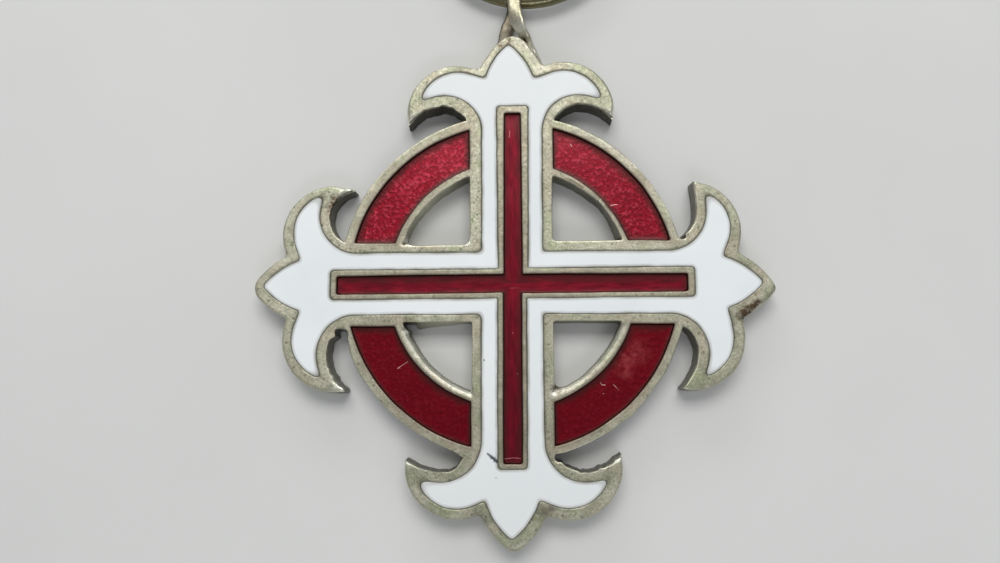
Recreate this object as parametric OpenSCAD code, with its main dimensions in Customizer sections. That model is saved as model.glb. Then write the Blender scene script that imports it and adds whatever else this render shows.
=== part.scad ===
// Merit medal: an enamelled cross fleury on a pierced ring, with a strap eye and a ribbon ring.
// The medal lies on its back. Origin: centre of the cross, on the back face.
// +Z points out of the front, +Y towards the eye. Millimetres.

/* [Cross] */
// Width of one straight arm over its two metal rims
arm_w = 6.65; // [6.4:0.05:6.9]
// Width of the metal rim left round the white field
rim_w = 0.9; // [0.8:0.02:1]
// Radius of the round outer edge of each hook
hook_r = 4.08; // [4:0.02:4.16]
// Sideways place of the centre of the hook's round edge
hook_x = 4.42; // [4.32:0.02:4.52]
// Place of that centre along the arm
hook_y = 14.5; // [14.4:0.05:14.6]
// Radius of the hollow between a hook and its arm
hollow_r = 2.3; // [2.2:0.05:2.4]
// Place of the hollow's centre along the arm
hollow_y = 12.65; // [12.5:0.05:12.8]
// Radius of the flatter stretch of the hollow, towards the hook's point
hollow_far_r = 3.5; // [3.3:0.1:3.7]
// Height along the arm of the notch between the spear tip and a hook
notch_y = 18.3; // [18.2:0.05:18.4]
// Radius of the two arcs that make the spear tip
spear_r = 6.75; // [6.65:0.05:6.85]
// Sideways distance of each arc's centre beyond the middle line
spear_x = 3.61; // [3.55:0.02:3.67]
// Place of the arcs' centres along the arm
spear_y = 15.49; // [15.4:0.03:15.6]
// Radius of the blunted spear tips, right arm, top arm, left arm and bottom arm
tip_radii = [0.7, 1.5, 1.1, 0.6]; // [0.4:0.1:1.6]

/* [Red inner cross] */
// Half the width of the red cross
red_half_w = 0.82; // [0.7:0.01:0.95]
// Length of a red arm from the centre
red_reach = 14.3; // [13.8:0.02:14.4]
// Width of the metal wall along the sides of the red cross
wall_w = 0.48; // [0.4:0.01:0.65]
// Width of that wall at the ends of the red cross
end_wall_w = 0.57; // [0.5:0.01:0.65]

/* [Ring between the arms] */
// Outer radius of the ring
ring_outer_r = 14.1; // [13.8:0.1:14.3]
// Radius of the pierced openings
ring_inner_r = 9.3; // [9:0.05:9.5]
// Width of the ring's metal rims
ring_rim_w = 0.66; // [0.5:0.01:0.8]
// Radius of the rounded corner of each pierced opening
opening_corner_r = 0.6; // [0.3:0.1:1]

/* [Thickness] */
// Thickness of the metal from the back to the top of the rims
body_t = 2.2; // [2:0.1:2.4]
// Depth of the sunk cells that hold the enamel
cell_depth = 0.9; // [0.7:0.1:1.1]
// Drop of the red enamel below the rims
red_drop = 0.3; // [0.1:0.05:0.4]
// Clearance between the enamel and the metal round it
enamel_gap = 0.04; // [0.02:0.01:0.08]

/* [Eye and ribbon ring] */
// Width of the flat strap of the eye
strap_w = 1.04; // [0.9:0.02:1.1]
// Thickness of that strap
strap_t = 0.42; // [0.36:0.02:0.46]
// Sideways place of the eye's loop
eye_x = 0.34; // [0.3:0.02:0.4]
// Radius of the loop along the middle of the strap
eye_r = 0.94; // [0.92:0.01:0.98]
// Outer radius of the ribbon ring
ribbon_ring_r = 8.6; // [8:0.1:9.5]
// Thickness of the ribbon ring's wire
wire_d = 1.15; // [1:0.05:1.15]
// Sideways place of the ribbon ring's centre
ribbon_ring_x = 1.3; // [0.5:0.1:1.5]

/* [Hidden] */
$fn = 96;

METAL = [0.72, 0.71, 0.62];
WHITE = [0.89, 0.90, 0.92];
DEEP_RED = [0.45, 0.10, 0.16];
RING_RED = [0.52, 0.09, 0.14];

// The hollow beside an arm touches the arm's straight edge
hollow_x = arm_w / 2 + hollow_r;
// The notch goes a little deeper in the white field than the rim's width alone gives
notch_follow = 1.05;
// The fill under the notch ends this far inside the arm's straight edge
notch_fill_margin = 0.25;
// Smallest rounding of a spear tip in the white field
min_tip_r = 0.25;
// Rounding of the red cross's arm ends, and of the wall round them
red_corner_r = 0.15;
wall_corner_r = 0.45;

cell_floor = body_t - cell_depth;
// The enamel rests this far above the floor of its cell
floor_gap = 0.02;
cut = 0.5;

// The eye's loop stands just beyond the spear tip and clears the surface that the medal lies on
eye_loop_y = 24.28;
eye_lift = 0.18;
eye_loop_z = body_t / 2 + eye_lift;
// The ribbon ring bears on the rear side of the loop, and its far side lies on the surface
wire_r = wire_d / 2;
bend_r = ribbon_ring_r - wire_r;
ring_rest_gap = 0.06;
// The wire lies this far short of the loop's middle
ring_slack = 0.08;
ring_near_z = eye_loop_z - eye_r + strap_t / 2 + ring_rest_gap + wire_r;
ring_near_y = eye_loop_y - ring_slack;
ring_tilt = asin((ring_near_z - wire_r) / (2 * bend_r));

// Spear tip of one arm: two arcs that cross, closed by a small tangent arc
module spear_shape(tip_r, inset) {
    arc_r = spear_r - inset;
    round_r = max(tip_r - inset, min_tip_r);
    round_y = spear_y + sqrt(pow(arc_r - round_r, 2) - pow(spear_x, 2));
    tangent_y = spear_y + (round_y - spear_y) * arc_r / (arc_r - round_r);
    intersection() {
        translate([-spear_x, spear_y]) circle(r = arc_r);
        translate([spear_x, spear_y]) circle(r = arc_r);
        translate([-arm_w, spear_y]) square([2 * arm_w, tangent_y - spear_y]);
    }
    translate([0, round_y]) circle(r = round_r);
}

// Space outside the right-hand edge of an arm, up to the inner side of its hook
module hollow_shape(inset) {
    translate([hollow_x, hollow_y]) circle(r = hollow_r + inset);
    intersection() {
        translate([hollow_x, hollow_y + hollow_r - hollow_far_r]) circle(r = hollow_far_r + inset);
        translate([hollow_x, 0]) square(2 * hook_y);
    }
    translate([arm_w / 2 - inset, 0]) square([3 * hook_r, hollow_y]);
}

// One arm of the cross fleury, pointing to +Y; inset draws its edge in by the width of a rim
module arm_shape(tip_r, inset) {
    notch_half_w = arm_w / 2 - notch_fill_margin;
    notch_top = notch_y - notch_follow * inset;
    difference() {
        union() {
            translate([-arm_w / 2, 0]) square([arm_w, hook_y]);
            translate([-notch_half_w, hook_y]) square([2 * notch_half_w, notch_top - hook_y]);
            for (side = [-1, 1]) translate([side * hook_x, hook_y]) circle(r = hook_r - inset);
            spear_shape(tip_r, inset);
        }
        hollow_shape(inset);
        mirror([1, 0]) hollow_shape(inset);
    }
}

module cross_shape(inset) {
    for (i = [0:3]) rotate(i * 90 - 90) arm_shape(tip_radii[i], inset);
}

// Bar through the centre with rounded ends
module rounded_bar(half_w, reach, corner_r) {
    translate([-half_w, corner_r - reach]) square([2 * half_w, 2 * (reach - corner_r)]);
    translate([corner_r - half_w, -reach]) square([2 * (half_w - corner_r), 2 * reach]);
    for (x = [-1, 1], y = [-1, 1])
        translate([x * (half_w - corner_r), y * (reach - corner_r)]) circle(r = corner_r);
}

// Straight cross with equal arms, grown by a margin
module straight_cross(half_w, reach, corner_r) {
    rounded_bar(half_w, reach, corner_r);
    rotate(90) rounded_bar(half_w, reach, corner_r);
}

module red_cross_shape(margin) {
    straight_cross(red_half_w + margin, red_reach + margin, red_corner_r);
}

module wall_shape(margin) {
    straight_cross(red_half_w + wall_w + margin, red_reach + end_wall_w + margin, wall_corner_r + margin);
}

// Sector of the ring in the upper right quarter, between two radii and outside the arms
module ring_sector(outer_r, inner_r, side) {
    intersection() {
        difference() {
            circle(r = outer_r);
            circle(r = inner_r);
        }
        translate([side, side]) square(outer_r);
    }
}

module red_arc_shape(margin) {
    ring_sector(ring_outer_r - ring_rim_w - margin, ring_inner_r + ring_rim_w + margin, arm_w / 2 + margin);
}

// Pierced opening in the upper right quarter, with its corner at the cross's centre rounded
module opening_shape() {
    side = arm_w / 2;
    intersection() {
        circle(r = ring_inner_r);
        union() {
            translate([side + opening_corner_r, side]) square(ring_inner_r);
            translate([side, side + opening_corner_r]) square(ring_inner_r);
            translate([side + opening_corner_r, side + opening_corner_r]) circle(r = opening_corner_r);
        }
    }
}

module frame_shape() {
    difference() {
        union() {
            circle(r = ring_outer_r);
            cross_shape(0);
        }
        for (i = [0:3]) rotate(i * 90) opening_shape();
    }
}

module cell_shapes() {
    difference() {
        cross_shape(rim_w);
        wall_shape(0);
    }
    red_cross_shape(0);
    for (i = [0:3]) rotate(i * 90) red_arc_shape(0);
}

// Middle line of the strap, from its front end on the right flank of the top spear, over the loop,
// to its rear end in the spear's back; columns: x, y, z, turn of the strap's width from X towards Z
loop_turns = [for (a = [0:30:180]) [eye_x, eye_loop_y + eye_r * sin(a), eye_loop_z + eye_r * cos(a), 0]];
strap_stations = concat(
    [[2.42, 18.60, 1.10, 90], [2.02, 19.58, 1.20, 90], [1.64, 20.33, 1.45, 86], [1.14, 21.00, 1.75, 70],
     [0.70, 21.70, 2.02, 42], [0.43, 22.50, 2.18, 12], [0.36, 23.40, 2.22, 0]],
    loop_turns,
    [[0.18, 23.40, 0.34, 0], [-0.06, 22.50, 0.38, 0], [-0.32, 21.60, 0.46, 0], [-0.55, 20.60, 0.72, 0]]);
strap_steps = 3;

// Point on a smooth curve through four stations, between the second and the third
function smooth(a, b, c, d, t) =
    0.5 * (2 * b + (c - a) * t + (2 * a - 5 * b + 4 * c - d) * t * t + (3 * b - a - 3 * c + d) * t * t * t);
function station(i) = strap_stations[max(0, min(len(strap_stations) - 1, i))];
function along(i, t) = smooth(station(i - 1), station(i), station(i + 1), station(i + 2), t);
function unit(v) = v / norm(v);
function place(s) = [s[0], s[1], s[2]];

strap_line = concat(
    [for (i = [0:len(strap_stations) - 2], k = [0:strap_steps - 1]) along(i, k / strap_steps)],
    [station(len(strap_stations) - 1)]);

// Four corners of the strap's section at one step of its middle line
function strap_corners(i) =
    let (last = len(strap_line) - 1,
         here = strap_line[i],
         way = unit(place(strap_line[min(last, i + 1)]) - place(strap_line[max(0, i - 1)])),
         wide = [cos(here[3]), 0, sin(here[3])],
         across = unit(wide - (wide * way) * way),
         thick = cross(way, across))
    [for (c = [[-1, -1], [1, -1], [1, 1], [-1, 1]])
        place(here) + across * c[0] * strap_w / 2 + thick * c[1] * strap_t / 2];

module eye_strap() {
    rings = len(strap_line);
    corners = [for (i = [0:rings - 1]) each strap_corners(i)];
    sides = [for (i = [0:rings - 2], k = [0:3], half = [0, 1])
        let (a = 4 * i + k, b = 4 * i + (k + 1) % 4)
        half == 0 ? [a, b + 4, b] : [a, a + 4, b + 4]];
    end = 4 * (rings - 1);
    caps = [[0, 2, 3], [0, 1, 2], [end, end + 2, end + 1], [end, end + 3, end + 2]];
    polyhedron(corners, concat(caps, sides));
}

module metal_frame() {
    color(METAL) {
        difference() {
            linear_extrude(body_t) frame_shape();
            translate([0, 0, cell_floor]) linear_extrude(cell_depth + cut) cell_shapes();
        }
        eye_strap();
    }
}

// Enamel of one cell, from just above the cell's floor to its own level
module enamel(level) {
    translate([0, 0, cell_floor + floor_gap]) linear_extrude(level - cell_floor - floor_gap) children();
}

module white_enamel() {
    color(WHITE) enamel(body_t - floor_gap) difference() {
        cross_shape(rim_w + enamel_gap);
        wall_shape(enamel_gap);
    }
}

module red_cross_enamel() {
    color(DEEP_RED) enamel(body_t - red_drop) red_cross_shape(-enamel_gap);
}

module red_arc_enamel(quarter) {
    color(RING_RED) enamel(body_t - red_drop) rotate(quarter * 90) red_arc_shape(enamel_gap);
}

module ribbon_ring() {
    color(METAL)
    translate([ribbon_ring_x, ring_near_y, ring_near_z]) rotate([-ring_tilt, 0, 0]) translate([0, bend_r, 0])
        rotate_extrude() translate([bend_r, 0]) circle(r = wire_r, $fn = 48);
}

metal_frame();
white_enamel();
red_cross_enamel();
red_arc_enamel(0);  // red_arc_upper_right
red_arc_enamel(1);  // red_arc_upper_left
red_arc_enamel(2);  // red_arc_lower_left
red_arc_enamel(3);  // red_arc_lower_right
ribbon_ring();
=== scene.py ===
"""Merit medal: hand-filed metalwork, fired enamel, a strap eye and a round-wire ribbon ring.

The plate and its enamels are worked out as depth fields in millimetres: a field is positive inside a
shape and gives the distance to its edge. Each edge is traced from its field, and the faces between the
edges are filled and raised, so a rim, a worn shoulder or a meniscus is real geometry.
"""

import math
from collections import namedtuple

import bpy
import numpy as np
from mathutils import Matrix, Vector, geometry


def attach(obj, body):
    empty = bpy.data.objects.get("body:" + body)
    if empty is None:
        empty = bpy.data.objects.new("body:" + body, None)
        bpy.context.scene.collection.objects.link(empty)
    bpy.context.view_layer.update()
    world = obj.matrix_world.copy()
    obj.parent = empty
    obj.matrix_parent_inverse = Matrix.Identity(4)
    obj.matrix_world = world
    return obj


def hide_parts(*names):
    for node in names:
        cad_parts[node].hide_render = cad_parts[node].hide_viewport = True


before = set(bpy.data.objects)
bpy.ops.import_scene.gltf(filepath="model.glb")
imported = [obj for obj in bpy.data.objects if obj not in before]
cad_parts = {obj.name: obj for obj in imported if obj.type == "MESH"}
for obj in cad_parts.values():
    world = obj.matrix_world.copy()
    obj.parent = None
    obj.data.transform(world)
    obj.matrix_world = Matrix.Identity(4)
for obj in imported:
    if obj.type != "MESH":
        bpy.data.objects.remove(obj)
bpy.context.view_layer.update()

MM = 0.001
BODY = "root"

# Plate and cells, in millimetres
BODY_T = 2.2
CELL_FLOOR = 1.3
ENAMEL_FLOOR = 1.32
WHITE_TOP = 2.19
RED_TOP = 1.9
RIM_W = 0.9
GAP = 0.02
ARM_HALF = 3.325
HOOK_Y = 14.5
HOLLOW_R = 2.3
HOLLOW_Y = 12.65
NOTCH_HALF = 3.3
SPEAR_X = 3.61
SPEAR_Y = 15.49
WALL_CORNER_R = 0.30
RED_CORNER_R = 0.15
# How much wider an arm is drawn before its hollows cut it to its width
SPARE = 0.3
# Where the heads of the arms, with their hooks, begin
HEAD_Y = 9.0
# The slope of a head's top beside the spear, and how softly its round edges and its spear join it
METAL_HEAD = (0.03, 0.2, 0.28)
WHITE_HEAD = (0.17, 0.3, 0.3)
# A depth that is outside everything, and half the side of the square that holds the plate
FAR_OUT = -99.0
REACH = 22.5

RIGHT, TOP, LEFT, BOTTOM = range(4)

# What the maker's file left of each hook and of the half spear beside it. A hook is named by its arm and
# by the side that it curls to. across, along and r place its round edge on the arm; hollow_y is the height
# of the hollow under it, point_r the radius of its inner edge near the point, notch_y the height of the
# notch and flank_r the radius of the spear's flank.
Hook = namedtuple("Hook", "across along r hollow_y point_r notch_y flank_r")
HOOKS = {
    (RIGHT, 1): Hook(4.46, 14.53, 4.19, 12.54, 4.0, 18.55, 7.20),
    (RIGHT, -1): Hook(4.20, 14.58, 4.09, 12.75, 14.0, 18.35, 6.62),
    (TOP, 1): Hook(4.40, 14.50, 4.11, 12.58, 3.6, 18.25, 6.92),
    (TOP, -1): Hook(4.57, 14.28, 4.04, 12.47, 3.25, 18.10, 6.70),
    (LEFT, 1): Hook(3.98, 14.58, 4.14, 12.54, 2.35, 18.35, 6.58),
    (LEFT, -1): Hook(4.54, 14.47, 4.14, 12.68, 3.85, 18.20, 6.97),
    (BOTTOM, 1): Hook(4.41, 14.57, 4.15, 12.69, 5.3, 18.27, 6.85),
    (BOTTOM, -1): Hook(4.46, 14.55, 4.25, 12.74, 3.45, 18.16, 6.96),
}
TIP_R = {RIGHT: 0.5, TOP: 1.5, LEFT: 1.25, BOTTOM: 0.9}
# The white field beside each hook. half is the half width of its straight part, hollow_r the radius of
# its edge round the hollow and blunt how blunt its point is; the rest is as for a hook.
White = namedtuple("White", "across along r notch_y flank_r half hollow_r blunt")
WHITES = {
    (RIGHT, 1): White(4.46, 14.54, 3.22, 17.32, 6.01, 2.53, 3.13, 0.45),
    (RIGHT, -1): White(4.40, 14.53, 3.23, 17.12, 5.93, 2.58, 3.22, 0.90),
    (TOP, 1): White(4.38, 14.54, 3.28, 17.22, 5.76, 2.55, 3.00, 0.65),
    (TOP, -1): White(4.40, 14.53, 3.20, 17.20, 6.00, 2.42, 3.02, 0.55),
    (LEFT, 1): White(4.25, 14.54, 3.28, 17.26, 5.83, 2.52, 3.02, 0.85),
    (LEFT, -1): White(4.48, 14.52, 3.30, 17.18, 6.04, 2.55, 3.08, 0.60),
    (BOTTOM, 1): White(4.42, 14.52, 3.37, 17.20, 6.05, 2.50, 3.17, 1.10),
    (BOTTOM, -1): White(4.42, 14.55, 3.30, 17.20, 5.94, 2.54, 3.19, 0.60),
}
WHITE_TIP_R = 0.35
# How much flatter the white's edge is on a hollow's far side
FAR_SIDE = 1.2
# The sunk red bar in each arm and the wall round it: how far its middle line stands off the arm's at the
# crossing and the drift of that for each mm outwards, its half width at the crossing and the gain of that
# for each mm outwards, and its reach
RED_BARS = {
    RIGHT: (0.04, -0.002, 0.79, -0.004, 14.22),
    TOP: (0.125, -0.001, 0.765, -0.007, 14.18),
    LEFT: (-0.01, -0.0085, 0.745, 0.0, 14.24),
    BOTTOM: (-0.06, 0.002, 0.755, 0.0, 14.42),
}
WALL_BARS = {
    RIGHT: (0.03, -0.0053, 1.21, 0.001, 14.79),
    TOP: (0.115, 0.0, 1.21, 0.008, 14.79),
    LEFT: (-0.03, -0.0053, 1.20, 0.0, 14.72),
    BOTTOM: (-0.02, 0.001, 1.18, 0.0, 14.85),
}
# Each quarter of the ring: its sides against the upright and the level arm (x and y), the radius of its
# opening and of its outer edge, the same four of its sunk field, the corner radius of its opening and of
# the white field beside it, and how much nearer the level arm's middle its opening starts
Quarter = namedtuple(
    "Quarter", "x y opening_r outer_r cell_x cell_y cell_in cell_out corner white_corner nearer")
QUARTERS = {
    (1, 1): Quarter(3.38, 3.46, 9.46, 14.02, 3.46, 3.43, 10.06, 13.30, 0.25, 0.25, 0.0),
    (-1, 1): Quarter(3.42, 3.14, 9.46, 14.06, 3.44, 3.33, 10.06, 13.24, 0.55, 0.40, 0.0),
    (-1, -1): Quarter(3.22, 3.50, 9.34, 14.21, 3.30, 3.47, 10.07, 13.48, 0.10, 0.36, 0.36),
    (1, -1): Quarter(3.34, 3.23, 9.35, 14.18, 3.34, 3.36, 10.13, 13.49, 0.12, 0.25, 0.10),
}
QUARTER_NAMES = {(1, 1): "upper_right", (-1, 1): "upper_left", (-1, -1): "lower_left",
                 (1, -1): "lower_right"}
# Saw cuts at the roots of the gaps between the hooks and the ring: place and radius
KERFS = ((-13.60, -4.05, 0.27), (-14.00, -3.96, 0.26), (13.90, 3.74, 0.26), (-4.32, -13.50, 0.15),
         (3.64, -13.94, 0.30))
# Unevenness in layers, for layered below: the hand's drift along every edge, and the saw's chatter
HAND_DRIFT = ((0.03, 2.6, 0), (0.012, 0.9, 1))
SAW_CHATTER = ((0.03, 0.5, 41), (0.05, 1.7, 42))
# Burrs and solder that stand out past the edges, and places filed deeper: place, how far and how wide
BURRS = ((-13.2, -4.6, -0.22, 0.8), (-3.95, -14.1, 0.27, 0.75), (-14.2, -7.85, 0.13, 0.6),
         (-13.5, -8.5, 0.15, 0.35), (-8.45, 3.45, 0.20, 0.35), (-8.33, -3.85, 0.16, 0.24),
         (3.56, -8.50, 0.26, 0.38), (17.1, -7.8, -0.08, 0.25), (9.45, -10.75, 0.10, 0.55),
         (8.75, -11.35, -0.06, 0.5))
# The ragged inner edges of the hooks, in layers too: how coarse they usually are, where they are coarser,
# and where metal was left on or taken off
HOOK_RAG = ((0.045, 0.30, 10), (0.035, 0.8, 19))
USUAL_RAG = 0.5
RAGGED = {(BOTTOM, -1): 2.0, (BOTTOM, 1): 0.9, (LEFT, -1): 1.8, (TOP, -1): 1.6, (TOP, 1): 0.9}
LEFT_ON = {(LEFT, -1): 0.06, (BOTTOM, -1): -0.03}


# Depth fields

NOISE_CELLS = 64


def value_noise(x, y, size, seed):
    """Smooth noise from -1 to 1 whose bumps are about size across."""
    table = np.random.RandomState(seed).uniform(-1, 1, (NOISE_CELLS, NOISE_CELLS))
    gx, gy = x / size, y / size
    ix, iy = np.floor(gx).astype(int), np.floor(gy).astype(int)
    fx, fy = gx - ix, gy - iy
    fx, fy = fx * fx * (3 - 2 * fx), fy * fy * (3 - 2 * fy)

    def at(i, j):
        return table[(ix + i) % NOISE_CELLS, (iy + j) % NOISE_CELLS]

    low = at(0, 0) * (1 - fx) + at(1, 0) * fx
    high = at(0, 1) * (1 - fx) + at(1, 1) * fx
    return low * (1 - fy) + high * fy


def layered(x, y, layers, seed=0):
    """Noises of several sizes as one; each layer says how far it goes, how wide its bumps are and what
    its own seed adds."""
    return sum(far * value_noise(x, y, size, seed + own) for far, size, own in layers)


def wander(x, y, seed):
    """The hand's slow drift along every edge."""
    return layered(x, y, HAND_DRIFT, seed)


def disc(x, y, cx, cy, r):
    return r - np.hypot(x - cx, y - cy)


def bump_at(x, y, cx, cy, size):
    return np.exp(-((x - cx) ** 2 + (y - cy) ** 2) / size ** 2)


def with_bumps(value, x, y, places):
    """A value with a soft bump or dip at each place: x, y, how much and how wide."""
    for cx, cy, more, size in places:
        value = value + more * bump_at(x, y, cx, cy, size)
    return value


def strongest(x, y, places):
    """The strongest of several soft bumps; each place is x, y, how much and how wide."""
    return np.max([more * bump_at(x, y, cx, cy, size) for cx, cy, more, size in places], 0)


def line_along(depth, at, width):
    """A soft line that follows an edge, at a distance from it."""
    return np.exp(-((depth - at) / width) ** 2)


def joined(a, b, soft):
    """Two shapes as one, with a soft inner corner where their edges meet."""
    near = np.maximum(soft - abs(a - b), 0) / soft
    return np.maximum(a, b) + near * near * soft / 4


def on_arm(x, y, arm):
    """Coordinates across and along an arm."""
    turn = math.radians(arm * 90 - 90)
    c, s = math.cos(turn), math.sin(turn)
    return x * c + y * s, -x * s + y * c


def side_of_arm(arm, side):
    """Half width of an arm at the quarter on that side of it."""
    turn = math.radians(arm * 90 - 90)
    c, s = round(math.cos(turn)), round(math.sin(turn))
    quarter = QUARTERS[c * side - s, s * side + c]
    return quarter.x if arm in (TOP, BOTTOM) else quarter.y


def by_quarter(x, y, size):
    """One of the quarters' sizes, at each point."""
    q = {place: getattr(quarter, size) for place, quarter in QUARTERS.items()}
    right, top = x > 0, y > 0
    return np.where(right, np.where(top, q[1, 1], q[1, -1]), np.where(top, q[-1, 1], q[-1, -1]))


def hollow_depth(u, v, side, half, height, r, far_r):
    """The space between a hook and its arm."""
    w = u * side
    near = disc(w, v, half + r, height, r)
    far = np.minimum(disc(w, v, half + r, height + r - far_r, far_r), w - half - r)
    strip = np.minimum(w - half, height - v)
    return np.maximum(np.maximum(near, far), strip)


def spear_depth(u, v, flank_right, flank_left, tip_r):
    """The spear point at the end of an arm, with its tip rounded."""
    near, far = flank_right - tip_r, flank_left - tip_r
    round_x = (near ** 2 - far ** 2) / (4 * SPEAR_X)
    round_y = SPEAR_Y + math.sqrt(near ** 2 - (round_x + SPEAR_X) ** 2)
    meets = np.where(u > round_x, flank_right / near, flank_left / far)
    tangent_y = SPEAR_Y + (round_y - SPEAR_Y) * meets
    flanks = np.minimum(disc(u, v, -SPEAR_X, SPEAR_Y, flank_right), disc(u, v, SPEAR_X, SPEAR_Y, flank_left))
    flanks = np.minimum(flanks, np.minimum(tangent_y - v, v - HOOK_Y))
    return np.maximum(flanks, disc(u, v, round_x, round_y, tip_r))


def head_depth(u, v, plus, minus, shape, tip_r):
    """The head of an arm up to its notches, with its two round edges and its spear."""
    lean, soft, spear_soft = shape
    top = np.where(u > 0, plus.notch_y, minus.notch_y) + lean * (abs(u) - 2.0)
    head = np.minimum(np.minimum(NOTCH_HALF - abs(u), top - v), v)
    for side, edge in ((1, plus), (-1, minus)):
        head = joined(head, disc(u * side, v, edge.across, edge.along, edge.r), soft)
    return joined(head, spear_depth(u, v, plus.flank_r, minus.flank_r, tip_r), spear_soft)


def hook_hollow(u, v, arm, side):
    hook = HOOKS[arm, side]
    return hollow_depth(u, v, side, side_of_arm(arm, side), hook.hollow_y, HOLLOW_R, hook.point_r)


def rag(u, v, arm, side):
    """The ragged inner edge of a hook."""
    ripple = layered(u, v, HOOK_RAG, 2 * arm + (side > 0))
    return RAGGED.get((arm, side), USUAL_RAG) * ripple + LEFT_ON.get((arm, side), 0.0)


def arm_depth(x, y, arm):
    """Metal of one arm."""
    u, v = on_arm(x, y, arm)
    head = head_depth(u, v, HOOKS[arm, 1], HOOKS[arm, -1], METAL_HEAD, TIP_R[arm])
    straight = np.minimum(np.minimum(ARM_HALF + SPARE - abs(u), HOOK_Y - v), v + ARM_HALF)
    depth = np.maximum(head, straight)
    for side in (1, -1):
        depth = np.minimum(depth, rag(u, v, arm, side) - hook_hollow(u, v, arm, side))
    return depth


def gap_depth(x, y):
    """The spaces between the hooks and the ring."""
    gap = np.full_like(x, FAR_OUT)
    for arm in range(4):
        u, v = on_arm(x, y, arm)
        for side in (1, -1):
            gap = np.maximum(gap, np.where(v > HEAD_Y, hook_hollow(u, v, arm, side), FAR_OUT))
    return gap


def opening_depth(x, y):
    """The four pierced openings."""
    p = abs(x) - by_quarter(x, y, "x")
    q = abs(y) - by_quarter(x, y, "y") + by_quarter(x, y, "nearer")
    r = by_quarter(x, y, "corner")
    corner = r - np.hypot(np.maximum(r - p, 0), np.maximum(r - q, 0))
    inside = np.where((p < r) & (q < r), corner, np.minimum(p, q))
    worn_thin = 0.28 * bump_at(x, y, 7.6, 5.6, 3.4)
    arc = by_quarter(x, y, "opening_r") + worn_thin - np.hypot(x, y) + layered(x, y, SAW_CHATTER)
    return -joined(-inside, -arc, 0.18)


def metal_depth(x, y):
    """Everything inside the outline of the metal."""
    depth = by_quarter(x, y, "outer_r") + 0.13 * bump_at(x, y, 7.7, 11.8, 1.8) - np.hypot(x, y)
    for arm in range(4):
        depth = np.maximum(depth, arm_depth(x, y, arm))
    depth = np.minimum(depth, -opening_depth(x, y))
    for cx, cy, r in KERFS:
        depth = np.minimum(depth, 0.05 * value_noise(x, y, 0.2, 13) - disc(x, y, cx, cy, r))
    return with_bumps(depth, x, y, BURRS) + wander(x, y, 3)


def bars_depth(x, y, bars, corner):
    """A straight cross with its arms drawn as a table of bars gives them."""
    depth = np.full_like(x, FAR_OUT)
    for arm, (offset, drift, half, gain, reach) in bars.items():
        u, v = on_arm(x, y, arm)
        pu = abs(u - offset - drift * v) - half - gain * v + corner
        pv = np.maximum(v - reach, -v - half) + corner
        out = np.hypot(np.maximum(pu, 0), np.maximum(pv, 0)) + np.minimum(np.maximum(pu, pv), 0)
        depth = np.maximum(depth, corner - out)
    return depth


def white_depth(x, y):
    """The sunk field of the cross, less the wall round the red one."""
    depth = np.full_like(x, FAR_OUT)
    corner = 1.17 * by_quarter(x, y, "white_corner")
    for arm in range(4):
        u, v = on_arm(x, y, arm)
        plus, minus = WHITES[arm, 1], WHITES[arm, -1]
        half = np.where(u > 0, plus.half, minus.half)
        straight = np.minimum(np.minimum(half + SPARE - abs(u), HOOK_Y - v), v + ARM_HALF - RIM_W)
        part = np.maximum(straight, head_depth(u, v, plus, minus, WHITE_HEAD, WHITE_TIP_R))
        for side, edge in ((1, plus), (-1, minus)):
            far_r = edge.hollow_r + FAR_SIDE
            hollow = hollow_depth(u, v, side, edge.half, HOLLOW_Y, edge.hollow_r, far_r)
            part = -joined(-part, hollow, edge.blunt)
        depth = joined(depth, part, corner)
    depth = np.minimum(depth, -bars_depth(x, y, WALL_BARS, WALL_CORNER_R))
    return depth + wander(x, y, 5)


def red_cross_depth(x, y):
    """The sunk field of the narrow cross."""
    return bars_depth(x, y, RED_BARS, RED_CORNER_R) + 0.7 * wander(x, y, 7)


def arc_depth(x, y):
    """The four sunk fields of the ring."""
    r = np.hypot(x, y)
    depth = np.minimum(by_quarter(x, y, "cell_out") - r, r - by_quarter(x, y, "cell_in"))
    depth = np.minimum(depth, abs(x) - by_quarter(x, y, "cell_x"))
    depth = np.minimum(depth, abs(y) - by_quarter(x, y, "cell_y"))
    return depth + wander(x, y, 9)


def ring_field(sx, sy):
    """The depth field of the ring's sunk field in one quarter."""
    return lambda x, y: np.minimum(arc_depth(x, y), np.minimum(x * sx, y * sy))


def cells_depth(x, y):
    return np.maximum(np.maximum(white_depth(x, y), red_cross_depth(x, y)), arc_depth(x, y))


def face_depth(x, y):
    """The metal's top face, between the outline and the cells."""
    return np.minimum(metal_depth(x, y), -cells_depth(x, y))


# Tracing and filling

# Points nearer to each other than this are one point
SAME_POINT = 1e-5
# The sides of a grid square that an edge joins, for each pattern of inside corners
SEGMENTS = {1: (0, 3), 2: (1, 0), 3: (1, 3), 4: (2, 1), 6: (2, 0), 7: (2, 3), 8: (3, 2), 9: (0, 2),
            11: (1, 2), 12: (3, 1), 13: (0, 1), 14: (3, 0)}
SADDLES = {5: ((0, 3), (2, 1)), 10: ((1, 0), (3, 2))}


def slope(field, p, h=0.01):
    x, y = p[:, 0], p[:, 1]
    gx = (field(x + h, y) - field(x - h, y)) / (2 * h)
    gy = (field(x, y + h) - field(x, y - h)) / (2 * h)
    return np.stack([gx, gy], 1)


def settle(field, p, rounds=2):
    """Moves points onto the edge of a field."""
    for _ in range(rounds):
        g = slope(field, p)
        step = field(p[:, 0], p[:, 1])[:, None] * g / np.maximum((g * g).sum(1), 0.2)[:, None]
        p = p - np.clip(step, -0.05, 0.05)
    return p


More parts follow.
